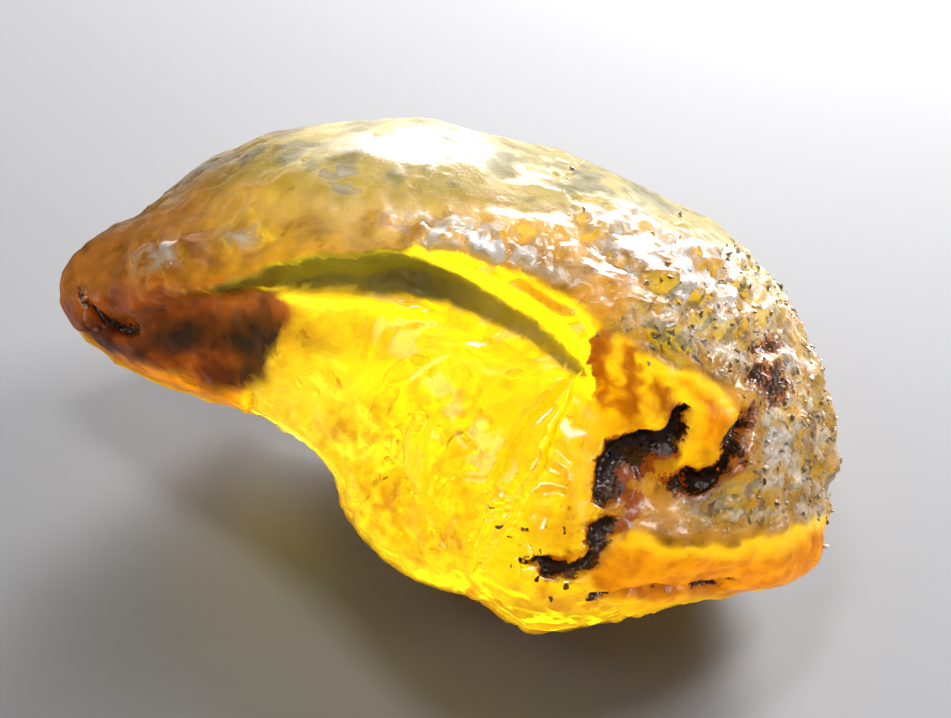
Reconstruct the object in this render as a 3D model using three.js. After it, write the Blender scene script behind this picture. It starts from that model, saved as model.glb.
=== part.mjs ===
// Raw amber: one lump of fossil resin, as found. It has a thin nose, a thick rounded butt,
// a glassy face where a flake broke away, a weathered rind everywhere else, and a worn flat
// on its belly that it rests on.
//
// Millimetres. +X runs from the nose to the butt, +Y away from the broken face, +Z up.
// The origin is on the resting surface, under the middle of the lump.
//
// The lump is drawn in the plane of its broken face: u along its length, v up the face and
// w out of it. It is then leaned back until it lies on its belly.
import * as THREE from "three";
import { mergeVertices } from "three/addons/utils/BufferGeometryUtils.js";

const { degToRad, euclideanModulo, lerp, radToDeg, smoothstep } = THREE.MathUtils;

// Driving dimensions.
const FACE_LEAN = 45; // degrees between the broken face and the ground
const FRONT_BULGE = 10.5; // how far the lump stands out before its rim, at the middle
const BACK_BULGE = 12; // and behind it
const BELLY_SLANT = 0.25; // how far the lump slides forward towards its foot, per mm of v
const NOSE_TIP = -21; // u of the nose's tip
const NOSE_ROOT = -5; // u where the lump begins to thin towards it
const NOSE_THICKNESS = 0.6; // share of the bulge that is left at the tip
const NOSE_SET_BACK = 7; // how far the nose bends away behind the face
const BUTT_ROOT = 4; // u where the butt begins to bend away
const BUTT_END = 18;
const BUTT_SET_BACK = 2.5;
const WORN_FLAT = 1.4; // height worn off the belly
const EDGE_ROUNDING = 0.8; // how softly two broken surfaces meet
const FLAT_ROUNDING = 0.5; // how softly the worn flat begins
const LEVELLING = 32; // degrees either way over which the rim's lobes even out inside it
const BACK_LEVELLING = 1.3; // how much sooner they even out behind the face
const BACK_TAPER = 0.16; // how far the lump draws in behind its rim
const MESH_STEPS = 17; // cuts along each edge of the starting icosahedron

// The rim, seen square onto the broken face, from the nose round under the foot and back.
const RIM = [
  [-21.4, 5.8],
  [-20.6, 3.2],
  [-17.8, 0.6],
  [-14.0, -0.8],
  [-10.0, -2.0],
  [-7.3, -3.9],
  [-6.1, -6.5],
  [-3.3, -8.9],
  [0.0, -10.0],
  [2.4, -11.4],
  [7.3, -10.9],
  [13.4, -9.4],
  [15.8, -6.7],
  [17.0, -2.0],
  [15.6, 2.7],
  [13.0, 6.3],
  [9.6, 8.6],
  [0.5, 12.1],
  [-4.4, 12.8],
  [-12.5, 11.3],
  [-16.9, 8.8],
  [-20.2, 7.3],
];

// Where flakes broke away: a shallow bowl with its floor at w, which rises round the middle
// as a sphere of radius bowl does, and tips by slope per mm of u and v.
const FRONT_SCOOPS = [
  { at: [-3.5, -3.5], floor: 6.8, bowl: 32, slope: [0.1, 0.1] },
  { at: [4.5, -6.5], floor: 6.6, bowl: 22, slope: [-0.12, 0.12] },
  { at: [-12.5, 2.5], floor: 5.0, bowl: 30, slope: [0.26, 0.58] },
  { at: [-1, 14], floor: 3.6, bowl: 90, slope: [0.02, -0.62] },
];
const BACK_SCOOPS = [
  { at: [6, 2], floor: 9.6, bowl: 34, slope: [0.08, -0.1] },
  { at: [-7, 5], floor: 8.2, bowl: 26, slope: [0.1, 0.12] },
];

// Soft swells (+) and hollows (-): middle, half width and half height, turn in degrees, rise.
const FRONT_SWELLS = [
  { at: [-6, 9.2], size: [8, 2.6], turn: -4, rise: 1.3 }, // shelf of rind over the face
  { at: [8.5, 5.5], size: [5, 3.6], turn: -38, rise: 1.4 }, // shoulder
  { at: [12.5, -1.5], size: [3.4, 4.5], turn: 15, rise: 1.0 }, // butt
  { at: [2.6, -3.2], size: [1.5, 6.5], turn: -28, rise: 0.9 }, // ridge down the face
  { at: [8.2, -4.3], size: [1.9, 1.2], turn: 30, rise: -1.3 }, // pocket
  { at: [9.5, -10.6], size: [4.5, 0.7], turn: 4, rise: -1.4 }, // crack over the foot
  { at: [-17.6, 3.4], size: [1.9, 0.9], turn: -38, rise: -1.6 }, // nick in the nose
  { at: [-15.5, 6.2], size: [3.6, 1.8], turn: 18, rise: 0.7 }, // brow of the nose
];
const BACK_SWELLS = [
  { at: [10, -3], size: [5, 4], turn: 20, rise: 1.5 },
  { at: [-4, 10], size: [7, 2.5], turn: 5, rise: 1.2 },
  { at: [3, 8], size: [2.5, 3.5], turn: -30, rise: -1.3 },
  { at: [-13, 3], size: [4, 2.5], turn: 10, rise: 1.1 },
  { at: [-2, -1], size: [3, 2.2], turn: 40, rise: -1.1 },
];

// Flat breaks on the sides that the face turns away from: which way each one looks, once
// the lump is leaned back, and how deep it cuts below the point that stood out furthest.
const CHIPS = [
  { facing: [-0.35, -0.3, -0.9], depth: 0.4 },
  { facing: [0.2, -0.5, -0.85], depth: 1.1 },
  { facing: [0.75, 0.2, -0.65], depth: 1.4 },
  { facing: [-0.45, 0.85, -0.2], depth: 1.4 },
  { facing: [0.5, 0.85, -0.1], depth: 1.0 },
];

// How far the rim is from the middle, for each degree from -180 round to 180.
function rimDistances() {
  const curve = new THREE.CatmullRomCurve3(
    RIM.map(([u, v]) => new THREE.Vector3(u, v, 0)),
    true,
  );
  const around = curve
    .getPoints(1440)
    .map((p) => ({ angle: radToDeg(Math.atan2(p.y, p.x)), distance: Math.hypot(p.x, p.y) }))
    .sort((a, b) => a.angle - b.angle);
  return Array.from({ length: 361 }, (_, degree) => {
    const next = around.find((p) => p.angle >= degree - 180) ?? around[0];
    return next.distance;
  });
}

// The same with its lobes and bays levelled out, as the lump is away from its rim.
function levelled(distances) {
  return distances.map((_, degree) => {
    let sum = 0;
    for (let step = -LEVELLING; step <= LEVELLING; step++) {
      sum += distances[euclideanModulo(degree + step, 360)];
    }
    return sum / (2 * LEVELLING + 1);
  });
}

function distanceAt(distances, angle) {
  const degree = radToDeg(angle) + 180;
  const before = Math.min(Math.floor(degree), 359);
  return lerp(distances[before], distances[before + 1], degree - before);
}

// The smaller of two heights, rounded over where they cross.
function softMin(a, b, rounding) {
  const overlap = Math.max(rounding - Math.abs(a - b), 0);
  return Math.min(a, b) - (overlap * overlap) / (4 * rounding);
}

function scooped(height, u, v, scoops) {
  for (const { at, floor, bowl, slope } of scoops) {
    const [du, dv] = [u - at[0], v - at[1]];
    const surface =
      floor + (du * du + dv * dv) / (2 * bowl) + slope[0] * du + slope[1] * dv;
    height = softMin(height, surface, EDGE_ROUNDING);
  }
  return height;
}

function swollen(u, v, swells) {
  let height = 0;
  for (const { at, size, turn, rise } of swells) {
    const [c, s] = [Math.cos(degToRad(turn)), Math.sin(degToRad(turn))];
    const [du, dv] = [u - at[0], v - at[1]];
    const along = (du * c + dv * s) / size[0];
    const across = (dv * c - du * s) / size[1];
    height += rise * Math.exp(-(along * along) - across * across);
  }
  return height;
}

// A point of the lump in the plane of its face, for a direction from its middle.
function facePoint(direction, rim, levelRim) {
  const front = direction.z > 0;
  const rise = Math.abs(direction.z); // 1 at the middle, 0 on the rim
  const reach = Math.hypot(direction.x, direction.y);
  const angle = Math.atan2(direction.y, direction.x);
  const levelling = front ? rise ** 2 : Math.min(rise * BACK_LEVELLING, 1);
  const taper = front ? 1 : 1 - BACK_TAPER * rise;
  const radius =
    reach * taper * lerp(distanceAt(rim, angle), distanceAt(levelRim, angle), levelling);
  const [u, v] = [radius * Math.cos(angle), radius * Math.sin(angle)];

  const thickness = lerp(NOSE_THICKNESS, 1, smoothstep(u, NOSE_TIP, NOSE_ROOT));
  const bulge = (front ? FRONT_BULGE : BACK_BULGE) * thickness;
  const carved = scooped(bulge * rise, u, v, front ? FRONT_SCOOPS : BACK_SCOOPS);
  const relief = swollen(u, v, front ? FRONT_SWELLS : BACK_SWELLS);
  const height = carved + relief * rise;

  const nose = NOSE_SET_BACK * smoothstep(-u, 0, -NOSE_TIP);
  const butt = BUTT_SET_BACK * smoothstep(u, BUTT_ROOT, BUTT_END);
  const spine = -BELLY_SLANT * v - nose - butt;
  return new THREE.Vector3(u, v, spine + (front ? height : -height));
}

// Flattens what stands beyond a plane.
function chip(points, facing, depth, rounding) {
  const normal = new THREE.Vector3(...facing).normalize();
  const plane = Math.max(...points.map((p) => p.dot(normal))) - depth;
  for (const p of points) {
    const distance = p.dot(normal);
    p.addScaledVector(normal, softMin(distance, plane, rounding) - distance);
  }
}

// Sets the lump on the ground, with the origin under its middle.
function setDown(points) {
  const box = new THREE.Box3().setFromPoints(points);
  const middle = box.getCenter(new THREE.Vector3());
  middle.z = box.min.z;
  for (const p of points) p.sub(middle);
}

function lumpGeometry() {
  const ball = new THREE.IcosahedronGeometry(1, MESH_STEPS);
  ball.deleteAttribute("normal");
  ball.deleteAttribute("uv");
  const geometry = mergeVertices(ball, 1e-5);
  const position = geometry.getAttribute("position");
  const rim = rimDistances();
  const levelRim = levelled(rim);
  const lean = degToRad(FACE_LEAN);
  const points = [];
  for (let i = 0; i < position.count; i++) {
    const direction = new THREE.Vector3().fromBufferAttribute(position, i);
    const point = facePoint(direction, rim, levelRim);
    points.push(point.applyAxisAngle(new THREE.Vector3(1, 0, 0), lean));
  }
  for (const { facing, depth } of CHIPS) chip(points, facing, depth, EDGE_ROUNDING);
  chip(points, [0, 0, -1], WORN_FLAT, FLAT_ROUNDING);
  setDown(points);
  points.forEach((p, i) => position.setXYZ(i, p.x, p.y, p.z));
  geometry.computeVertexNormals();
  return geometry;
}

const amber = new THREE.Mesh(
  lumpGeometry(),
  new THREE.MeshStandardMaterial({
    color: new THREE.Color(0.86, 0.47, 0.06),
    roughness: 0.3,
    metalness: 0,
  }),
);
amber.name = "raw_amber";

const part = new THREE.Group();
part.add(amber);

export default part;
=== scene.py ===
import math

import bmesh
import bpy
import numpy as np
from mathutils import Matrix, Vector, noise
from mathutils.bvhtree import BVHTree


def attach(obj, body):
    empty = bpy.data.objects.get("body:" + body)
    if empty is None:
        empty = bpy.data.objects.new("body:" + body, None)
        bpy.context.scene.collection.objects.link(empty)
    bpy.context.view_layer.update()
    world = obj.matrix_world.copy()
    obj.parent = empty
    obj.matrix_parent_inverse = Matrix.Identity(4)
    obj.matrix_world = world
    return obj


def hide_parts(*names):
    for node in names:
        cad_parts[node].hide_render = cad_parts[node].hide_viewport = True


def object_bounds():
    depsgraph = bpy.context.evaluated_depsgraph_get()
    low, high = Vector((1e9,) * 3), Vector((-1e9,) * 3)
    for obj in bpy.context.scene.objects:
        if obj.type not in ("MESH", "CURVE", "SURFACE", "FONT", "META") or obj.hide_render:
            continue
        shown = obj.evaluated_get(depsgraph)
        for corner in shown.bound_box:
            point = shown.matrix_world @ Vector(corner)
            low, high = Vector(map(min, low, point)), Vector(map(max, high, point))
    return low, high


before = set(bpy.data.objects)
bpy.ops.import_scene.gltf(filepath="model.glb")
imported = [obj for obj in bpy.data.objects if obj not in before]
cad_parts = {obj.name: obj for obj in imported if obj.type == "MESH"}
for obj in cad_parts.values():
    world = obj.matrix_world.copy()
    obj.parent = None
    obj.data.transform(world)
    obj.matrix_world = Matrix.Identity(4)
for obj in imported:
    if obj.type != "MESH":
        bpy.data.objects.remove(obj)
cad_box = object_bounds()

MM = 0.001

# The broken face: how far it leans back, where its middle is, and which way it runs.
FACE_LEAN = math.radians(45)
FACE_MIDDLE = np.array([2.187, -1.074, 8.693])
FACE_ALONG = np.array([1.0, 0.0, 0.0])
FACE_UP = np.array([0.0, math.cos(FACE_LEAN), math.sin(FACE_LEAN)])
FACE_OUT = np.array([0.0, -math.sin(FACE_LEAN), math.cos(FACE_LEAN)])
FACE_AXES = np.array([FACE_ALONG, FACE_UP, FACE_OUT])

# Outlines on the broken face. The window runs past the rim at the foot, where the rind ends
# under the lump's edge.
WINDOW = [
    (-19.6, 3.4), (-17.6, 3.9), (-15.7, 4.2), (-13.6, 4.4), (-11.3, 4.4), (-9.3, 4.9),
    (-6.5, 5.3), (-3.6, 5.8), (-1.2, 5.7), (0.6, 5.2), (2.2, 4.5), (3.6, 4.0), (4.9, 3.3),
    (5.4, 2.0), (5.8, 0.6),
    (6.6, -0.5), (7.2, -1.9), (6.3, -3.0), (5.7, -4.5), (5.6, -6.2), (5.0, -7.3),
    (6.8, -8.1), (9.4, -8.2), (12.4, -7.6), (13.4, -9.0), (9.0, -12.0), (2.4, -13.0),
    (-3.3, -11.0), (-7.4, -8.5), (-9.0, -5.0), (-11.5, -3.8), (-15.0, -2.6), (-19.0, -1.2),
    (-21.6, 1.6), (-20.4, 3.0),
]
FROST = [(-15.8, 9.4), (-12.2, 9.3), (-6.7, 8.5), (-1.3, 7.9), (3.6, 7.4), (8.5, 7.2),
         (12.5, 7.2), (16.0, 14.0), (0.0, 22.0), (-16.0, 18.0)]
CRUST = [(5.2, 2.6), (7.2, 4.0), (9.4, 5.2), (12.4, 6.4), (16.5, 5.2), (19.0, -2.0),
         (17.5, -6.0), (13.5, -6.6), (9.5, -6.0), (8.8, -5.0), (10.8, -3.8), (12.0, -1.8),
         (10.5, 0.2), (7.5, 1.0)]
NOSE_STAIN = [(-22.5, 4.0), (-15.5, 4.6), (-11.5, 4.8), (-9.6, 3.9), (-9.2, 2.6),
              (-9.9, 0.4), (-12.0, -0.6), (-15.0, 0.2), (-18.5, 1.2), (-22.5, 2.2)]
# Orange patches, each with how strong it is.
ORANGE_PATCHES = [
    (1.15, [(6.8, 1.2), (8.8, 1.0), (10.8, -0.4), (11.7, -1.7), (10.4, -3.3), (9.2, -3.6),
            (8.9, -2.2), (8.9, -1.0), (7.6, 0.0)]),
    (1.3, [(4.6, -6.9), (6.6, -6.4), (8.6, -6.8), (11.6, -6.9), (14.6, -6.0), (16.4, -6.0),
           (15.0, -9.6), (9.0, -10.8), (6.0, -10.4), (4.4, -8.6)]),
    (0.6, [(5.0, 2.9), (6.4, 2.0), (8.3, -0.4), (8.0, -2.2), (6.6, -2.7), (5.6, -3.8),
           (5.2, -5.8), (3.9, -6.6), (4.0, -4.0), (4.9, -1.6), (5.1, 0.6)]),
    (1.0, [(-21.5, 3.6), (-19.5, 3.6), (-16.5, 1.9), (-13.0, 0.7), (-11.0, 0.2), (-10.6, -1.8),
           (-12.0, -3.2), (-15.0, -2.4), (-19.0, -0.8)]),
]

# Lines on it.
RIDGE = [(-12.4, 4.5), (-9.35, 5.3), (-6.5, 5.7), (-3.4, 5.9), (-1.2, 5.3), (0.9, 4.4),
         (3.1, 2.9), (4.8, 1.3), (5.7, 0.2)]
CREVICE = [(12.1, -1.5), (11.8, -2.0), (11.2, -2.8), (10.4, -3.6), (9.7, -4.1)]

# Lines with a half width at each point: (u, v, half width).
# The shaded facet is painted shade: a dark olive band below the ridge, opaque and rough.
SHADED_FACET = [(-15.5, 4.9, 0.12), (-12.2, 4.6, 0.45), (-9.6, 4.8, 0.80), (-6.6, 4.95, 1.15),
                (-4.2, 5.0, 1.15), (-2.3, 4.5, 0.85), (-0.6, 3.7, 0.60), (1.6, 2.5, 0.46),
                (3.6, 1.1, 0.38), (4.9, 0.1, 0.15)]
LIP = [(-9.8, 3.7, 0.10), (-8.4, 3.8, 0.16), (-7.0, 3.55, 0.14), (-4.9, 3.75, 0.20),
       (-3.4, 3.5, 0.14), (-2.0, 2.9, 0.05)]
UPPER_LIP = [(-5.6, 4.2, 0.06), (-4.2, 4.35, 0.16), (-2.9, 4.0, 0.10), (-1.6, 3.2, 0.05)]
VEIN = [(3.9, 0.3, 0.20), (3.4, -0.8, 0.55), (2.2, -2.8, 0.75), (1.1, -5.0, 0.50),
        (0.3, -6.9, 0.36), (0.1, -8.0, 0.12)]
SOIL_SEAM = [(8.8, -0.9, 0.12), (8.6, -1.5, 0.34), (8.4, -2.4, 0.48), (7.7, -3.0, 0.75),
             (6.7, -3.4, 0.62), (6.1, -4.3, 0.60), (5.7, -4.9, 0.30)]
SOIL_CHAIN = [(5.9, -5.6, 0.12), (5.5, -6.1, 0.42), (5.2, -6.8, 0.30), (4.8, -7.4, 0.20),
              (4.2, -7.7, 0.38), (3.5, -7.8, 0.32), (2.8, -7.7, 0.14), (2.0, -7.9, 0.18)]
FOOT_CRACK = [(4.9, -9.2, 0.05), (6.0, -9.4, 0.16), (7.6, -9.4, 0.26), (9.0, -9.4, 0.14),
              (10.1, -9.3, 0.24), (11.6, -9.1, 0.05)]
NOSE_NICK = [(-19.4, 5.0, 0.06), (-19.1, 3.8, 0.16), (-18.6, 3.0, 0.45), (-17.6, 2.7, 0.40),
             (-16.8, 2.6, 0.10)]
SWIRL_MIDDLE = (2.0, -7.5)  # what the flow lines in the window curve round
# Spangles, the flat healed cracks that flash in the light: middle, half length, half width
# and turn in degrees, each as deep under the face as it is wide.
SPANGLES = [
    ((-3.1, 0.6), 1.15, 0.50, 28), ((-3.8, -3.5), 0.30, 0.26, 0), ((-2.9, -4.9), 0.75, 0.60, 40),
    ((1.6, 0.4), 0.38, 0.22, 10), ((2.9, -0.7), 0.45, 0.28, 60), ((4.0, -1.5), 0.18, 0.16, 0),
    ((4.8, -1.5), 0.20, 0.18, 0), ((-6.2, -2.6), 0.35, 0.28, -20), ((-1.2, -6.4), 0.50, 0.36, 65),
    ((-8.6, 1.9), 0.60, 0.34, 35),
]
# Patches with soft edges: middle, half length, half width, turn in degrees and strength.
SOIL_SPOTS = [
    ((13.6, 0.0), 0.6, 0.8, 0, 0.9), ((12.4, 0.5), 0.5, 0.6, 0, 0.8),
    ((13.2, 1.8), 0.8, 0.4, 0, 0.8), ((8.9, -4.3), 0.5, 0.3, 0, 0.7),
]
NOSE_INCLUSIONS = [
    ((-14.7, 2.1), 2.0, 1.0, 15, 1.0), ((-11.7, 2.0), 1.9, 1.0, 0, 1.0),
    ((-10.0, 1.5), 1.1, 1.2, 0, 1.0), ((-11.4, 0.5), 1.6, 0.7, 0, 0.9),
    ((-18.4, 2.0), 1.6, 0.6, -30, 0.8), ((-13.0, 4.2), 3.0, 0.4, -5, 0.6),
]
LUMPY_GROUND = [
    ((8.0, 5.2), 4.4, 2.6, -32, 1.0), ((0.8, 6.5), 4.6, 1.2, -12, 1.1),
    ((-13.5, 6.2), 3.6, 1.5, 12, 1.2), ((-6.0, 8.4), 1.2, 0.9, 0, 0.5),
]
CLOUDS = [
    ((-5.8, -2.0), 2.2, 1.5, 0, 0.9), ((-0.9, -4.4), 1.3, 1.8, 20, 0.8),
    ((-4.4, -5.4), 2.2, 2.2, 0, 1.0), ((-1.8, -7.4), 1.8, 1.2, 30, 1.0),
    ((3.6, -5.5), 2.0, 3.4, -10, 0.7), ((4.9, -1.0), 1.0, 1.4, 0, 0.5),
    ((1.5, 1.6), 3.4, 0.6, -32, 0.6), ((-6.4, 2.3), 3.4, 0.8, -5, 0.6),
    ((-7.9, -1.9), 1.4, 0.8, -30, 0.6), ((2.6, 3.9), 3.0, 0.6, -28, 0.6),
    ((-16.0, 0.6), 5.0, 1.6, -20, 1.0), ((7.0, -0.5), 2.0, 2.6, 0, 0.7),
    ((7.5, -8.0), 4.5, 1.0, 0, 0.8), ((3.0, -9.8), 6.0, 1.4, 0, 0.95),
    ((-8.6, 0.8), 1.8, 1.8, 0, 0.5), ((-9.9, 1.8), 1.2, 1.4, 0, 0.5),
]
DEEPENED = [
    ((2.6, 3.4), 3.4, 1.6, -28, 1.0), ((-2.6, 4.6), 3.2, 1.0, -8, 0.9),
    ((-8.6, 2.2), 3.4, 1.8, -10, 1.0), ((-12.4, 0.2), 3.0, 1.6, -20, 1.0),
    ((-5.6, -8.2), 2.6, 0.8, -35, 0.8), ((2.6, -10.2), 6.0, 1.3, 0, 0.9),
]
# Painted highlights: spots kept clear of clouds and deep amber, so they read paler and brighter.
PAINTED_BRIGHT_SPOTS = [
    ((-3.1, 0.6), 1.5, 0.7, 28, 1.0), ((-2.9, -5.0), 1.2, 0.8, 35, 0.6),
    ((-3.8, -3.5), 0.5, 0.5, 0, 1.0), ((1.8, -0.4), 2.6, 0.9, 15, 0.8),
    ((-7.2, 0.6), 1.6, 0.8, -15, 1.0),
]
BUBBLE_GROUND = [((-3.2, -3.4), 3.4, 3.8, 20, 1.0), ((-9.0, 0.5), 2.2, 1.2, -20, 0.6)]
SPECK_GROUND = [
    ((3.6, -6.6), 3.0, 1.6, -15, 1.0), ((6.2, 0.2), 1.4, 2.0, 0, 0.8),
    ((-5.5, -5.4), 1.6, 1.6, 0, 0.12),
]
SHOULDER = ((8.0, 5.2), 4.4, 2.6, -32, 0.1)
# Painted glints: pale bluish-white patches on the lumps where highlights stand; they are also
# smoother and hold back more light.
PAINTED_GLINT_PATCHES = [
    ((8.2, 5.4), 3.4, 1.7, -30, 1.0), ((-0.2, 6.2), 3.8, 1.0, -16, 1.0),
    ((-14.8, 6.0), 1.7, 0.8, 5, 0.85), ((-11.0, 6.9), 1.2, 0.6, 0, 0.8),
    ((-6.0, 9.2), 1.2, 0.6, -10, 0.7), ((14.2, 1.2), 0.8, 0.9, 0, 0.8),
    ((9.9, -5.0), 1.1, 0.6, 20, 0.7), ((13.6, -2.6), 1.0, 1.2, 0, 0.55),
]
# Painted glare: on the middle of the crest the frost is painted a paler grey, and is smoother and
# less see-through.
CREST_PAINTED_GLARE = ((-3.2, 10.8), 4.6, 1.7, -3, 1.0)
# Painted glare: a pale whitish-tan haze laid over the rind of the shelf.
SHELF_PAINTED_GLARE_AREA = ((-4.5, 8.0), 8.5, 2.0, -3, 1.0)
# Hollows (-) and swells (+) of the surface, with their height in the last place.
HOLLOWS_AND_SWELLS = [
    ((-2.9, 0.6), 1.3, 0.6, 28, -0.22), ((-3.6, -3.6), 0.7, 0.6, 0, -0.16),
    ((8.0, -6.6), 3.0, 0.7, -4, 0.35),
]
FOOT_CORNER = ((14.4, -8.0), 2.6, 1.7, 30, 1.0)
RUST_STREAKS = [
    [(5.5, 2.2), (5.3, 0.6), (5.9, -0.8)],
    [(6.4, 1.2), (6.7, -0.3), (7.1, -1.8)],
    [(7.7, 0.0), (7.9, -0.9)],
    [(7.0, -5.0), (6.9, -5.7), (6.2, -6.4)],
]


# ---- Node trees ----
class Net:
    """Adds linked nodes to a node tree, one call each."""

    def __init__(self, tree):
        self.tree = tree

    def add(self, kind, inputs=None, out=0, **settings):
        node = self.tree.nodes.new(kind)
        for name, value in settings.items():
            setattr(node, name, value)
        for key, value in (inputs or {}).items():
            self.feed(node.inputs[key], value)
        return node.outputs[out] if len(node.outputs) else node

    def feed(self, socket, value):
        if isinstance(value, bpy.types.NodeSocket):
            self.tree.links.new(value, socket)
        else:
            socket.default_value = value

    def math(self, operation, *values):
        return self.add("ShaderNodeMath", dict(enumerate(values)), operation=operation)

    def total(self, *values):
        result = values[0]
        for value in values[1:]:
            result = self.math("ADD", result, value)
        return result

    def product(self, *values):
        result = values[0]
        for value in values[1:]:
            result = self.math("MULTIPLY", result, value)
        return result

    def largest(self, *values):
        result = values[0]
        for value in values[1:]:
            result = self.math("MAXIMUM", result, value)
        return result

    def rest(self, value):
        return self.math("SUBTRACT", 1.0, value)

    def step(self, value, low, high, start=0.0, end=1.0):
        """start below low, end above high, and a smooth rise between them."""
        places = {"Value": value, "From Min": low, "From Max": high, "To Min": start,
                  "To Max": end}
        return self.add("ShaderNodeMapRange", places, interpolation_type="SMOOTHSTEP")

    def blend(self, share, first, second):
        """first where share is 0 and second where it is 1, for colours."""
        return self.add("ShaderNodeMix", {0: share, 6: first, 7: second}, out=2,
                        data_type="RGBA")

    def scaled(self, vector, factor):
        return self.add("ShaderNodeVectorMath", {0: vector, "Scale": factor}, operation="SCALE")

    def noise(self, place, scale, detail=2.0, roughness=0.5, distortion=0.0, out=0):
        return self.add("ShaderNodeTexNoise", {
            "Vector": place, "Scale": scale, "Detail": detail, "Roughness": roughness,
            "Distortion": distortion}, out=out)

    def give(self, **results):
        """Ends a group with its outputs."""
        named = {name.replace("_", " "): value for name, value in results.items()}
        self.add("NodeGroupOutput", named)


def new_group(name, kind, inputs, outputs):
    """A node group with named inputs and outputs: its net, and what its inputs give."""
    tree = bpy.data.node_groups.new(name, kind)
    for direction, named in (("INPUT", inputs), ("OUTPUT", outputs)):
        for title, socket_kind, *default in named:
            socket = tree.interface.new_socket(name=title, in_out=direction,
                                               socket_type="NodeSocket" + socket_kind)
            if default:
                socket.default_value = default[0]
    return Net(tree), tree.nodes.new("NodeGroupInput").outputs


# ---- Places on the broken face ----
FAR_AWAY = 1e9
PATTERN_SHIFTS = (0.0, 150.0, 300.0)  # sets the three parts of a move apart in the same pattern


def to_face(points):
    """(u, v, w) of points that are in millimetres."""
    return (points - FACE_MIDDLE) @ FACE_AXES.T


def from_face(places):
    return np.asarray(places) @ FACE_AXES + FACE_MIDDLE


def smooth(value, low, high):
    share = np.clip((value - low) / (high - low), 0, 1)
    return share * share * (3 - 2 * share)


def rounded(points, closed, cuts=6):
    """The points with a Catmull-Rom curve run through them."""
    points = [np.array(p, float) for p in points]
    before = [points[-1]] if closed else [points[0]]
    after = points[:2] if closed else [points[-1]]
    knots = before + points + after
    curve = []
    for a, b, c, d in zip(knots, knots[1:], knots[2:], knots[3:]):
        for t in np.arange(cuts) / cuts:
            curve.append(0.5 * (2 * b + (c - a) * t + (2 * a - 5 * b + 4 * c - d) * t * t
                                + (3 * b - a - 3 * c + d) * t ** 3))
    if not closed:
        curve.append(points[-1])
    return np.array(curve)


def from_segment(places, a, b):
    """How far each place is from a straight line, and what share of the way along it."""
    run = b - a
    offset = places - a
    share = np.clip(offset @ run / (run @ run), 0, 1)
    return np.linalg.norm(offset - share[:, None] * run, axis=1), share


def line_distance(places, line):
    """How far each place is from a line, and whether it is to the left of it (+) or not."""
    nearest = np.full(len(places), FAR_AWAY)
    side = np.ones(len(places))
    for a, b in zip(line, line[1:]):
        distance, _ = from_segment(places, a, b)
        closer = distance < nearest
        nearest[closer] = distance[closer]
        left = (b - a)[0] * (places - a)[:, 1] - (b - a)[1] * (places - a)[:, 0] > 0
        side[closer] = np.where(left[closer], 1, -1)
    return nearest, side


def inside_distance(places, outline):
    """How far each place is inside an outline; negative outside it."""
    ring = rounded(outline, closed=True)
    ring = np.vstack([ring, ring[:1]])
    distance, _ = line_distance(places, ring)
    inside = np.zeros(len(places), bool)
    u, v = places[:, 0], places[:, 1]
    for a, b in zip(ring, ring[1:]):
        spans = (a[1] > v) != (b[1] > v)
        if spans.any():
            crossing = a[0] + (v - a[1]) * (b[0] - a[0]) / (b[1] - a[1] + 1e-12)
            inside ^= spans & (u < crossing)
    return np.where(inside, distance, -distance)


def stroke(places, line, half_width=1.0, fall=(0.35, 1.5)):
    """1 along a line, falling to 0 past its half width. A line's points may hold their own."""
    line = rounded(line, closed=False)
    nearest = np.full(len(places), FAR_AWAY)
    for a, b in zip(line, line[1:]):
        distance, share = from_segment(places, a[:2], b[:2])
        width = a[2] + share * (b[2] - a[2]) if len(a) > 2 else 1.0
        nearest = np.minimum(nearest, distance / (half_width * width))
    return 1 - smooth(nearest, *fall)


def blot(places, patch):
    """A patch with soft edges: its strength at its middle, falling to 0 round it."""
    middle, length, width, turn, strength = patch
    c, s = math.cos(math.radians(turn)), math.sin(math.radians(turn))
    du, dv = places[:, 0] - middle[0], places[:, 1] - middle[1]
    along = (du * c + dv * s) / length
    across = (dv * c - du * s) / width
    return strength * np.exp(-along ** 2 - across ** 2)


def blots(places, patches):
    return np.maximum.reduce([blot(places, patch) for patch in patches])


def drift(points, size, reach, start=0.0):
    """Small moves that change slowly from point to point, to roughen what is drawn."""
    moves = [[noise.turbulence(Vector((p + start + apart) / size), 3, False)
              for apart in PATTERN_SHIFTS] for p in points]
    return reach * np.array(moves)


# ---- The lump ----
def plain_mesh(obj, name):
    """The object as its modifiers leave it, as a new plain mesh."""
    graph = bpy.context.evaluated_depsgraph_get()
    mesh = bpy.data.meshes.new_from_object(obj.evaluated_get(graph))
    mesh.name = name
    return mesh


def new_object(name, data):
    obj = bpy.data.objects.new(name, data)
    bpy.context.scene.collection.objects.link(obj)
    return obj


def fine_lump(levels=2):
    """A copy of the CAD lump, merged and divided finely enough to weather."""
    shell = bmesh.new()
    shell.from_mesh(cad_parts["raw_amber"].data)
    bmesh.ops.remove_doubles(shell, verts=shell.verts, dist=0.001 * MM)
    mesh = bpy.data.meshes.new("lump")
    shell.to_mesh(mesh)
    shell.free()
    obj = new_object("lump", mesh)
    obj.data.materials.clear()
    divide = obj.modifiers.new("divide", "SUBSURF")
    divide.levels = divide.render_levels = levels
    obj.data = plain_mesh(obj, "lump")
    obj.modifiers.clear()
    return obj


def vectors(items, key):
    """A vector of each item, such as the places of vertices, as rows of an array."""
    numbers = np.zeros(len(items) * 3, np.float32)
    items.foreach_get(key, numbers)
    return numbers.reshape(-1, 3)


def store(mesh, **fields):
    for name, values in fields.items():
        field = mesh.attributes.new(name, "FLOAT", "POINT")
        field.data.foreach_set("value", np.asarray(values, np.float32))


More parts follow.
